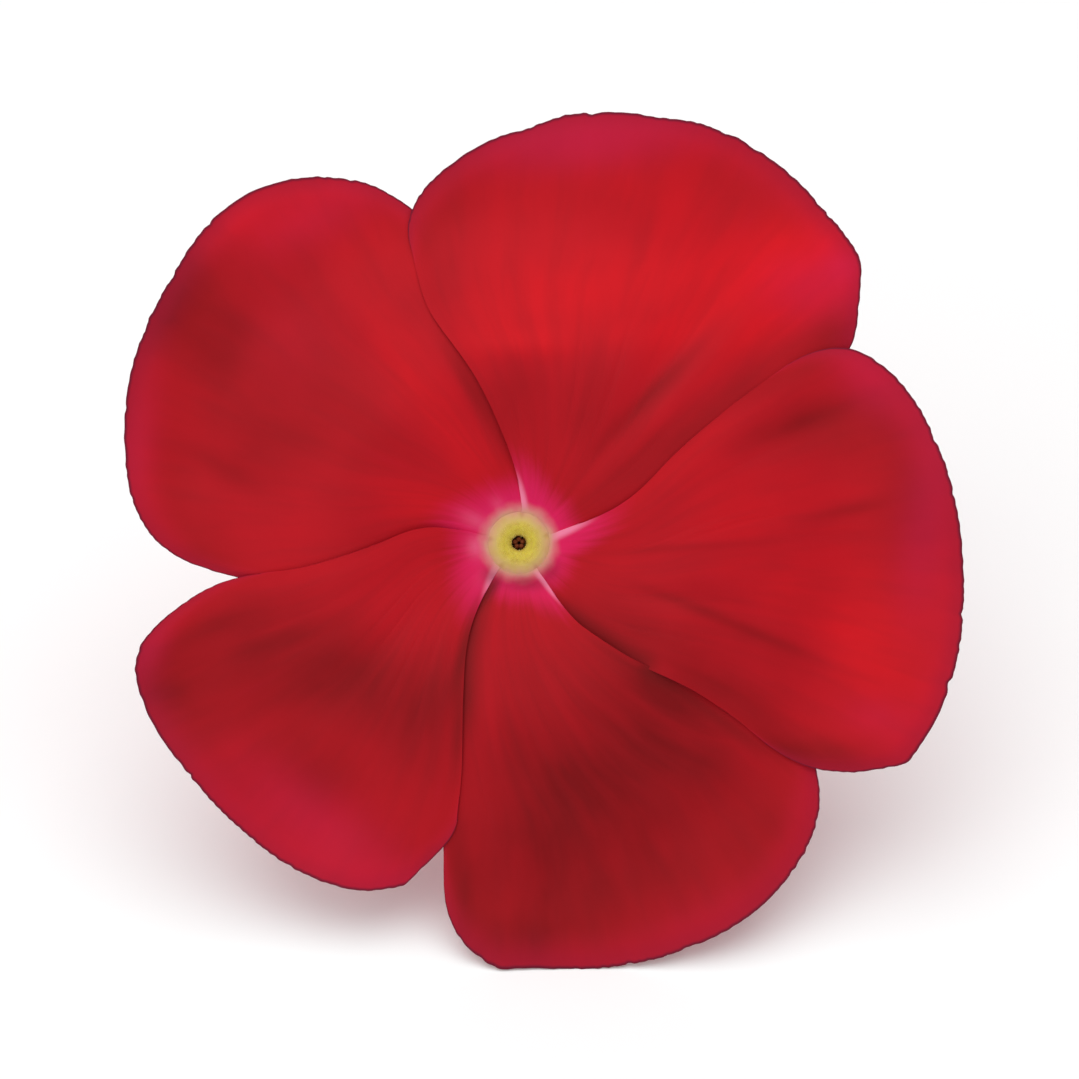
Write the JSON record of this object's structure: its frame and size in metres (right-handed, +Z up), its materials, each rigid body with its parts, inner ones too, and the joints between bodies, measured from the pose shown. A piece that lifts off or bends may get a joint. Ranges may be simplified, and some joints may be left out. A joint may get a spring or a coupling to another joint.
{
  "type": "vinca flower",
  "caption": "Red Madagascar periwinkle bloom: flat pinwheel of overlapping petals round a small yellow eye, on a slender green tube with a calyx and a short cut stalk.",
  "frame": {"origin": "on the surface that the flower lies on, at the middle of its outline", "axes": "+Z up from the surface, +X to the right as the face is looked at, -Y the side that the face leans towards; the face looks forward and up"},
  "size_m": [0.049, 0.0414, 0.0404],
  "materials": {
    "petal_red": "soft matte petal",
    "eye_yellow": "soft matte petal",
    "tube_green": "smooth fresh plant skin",
    "calyx_green": "smooth fresh plant skin"
  },
  "bodies": {
    "root": {"petal_top": "petal_red", "petal_upper_left": "petal_red", "petal_lower_left": "petal_red", "petal_bottom": "petal_red", "petal_right": "petal_red", "eye": "eye_yellow", "tube": "tube_green", "calyx_and_stalk": "calyx_green"}
  },
  "joints": []
}
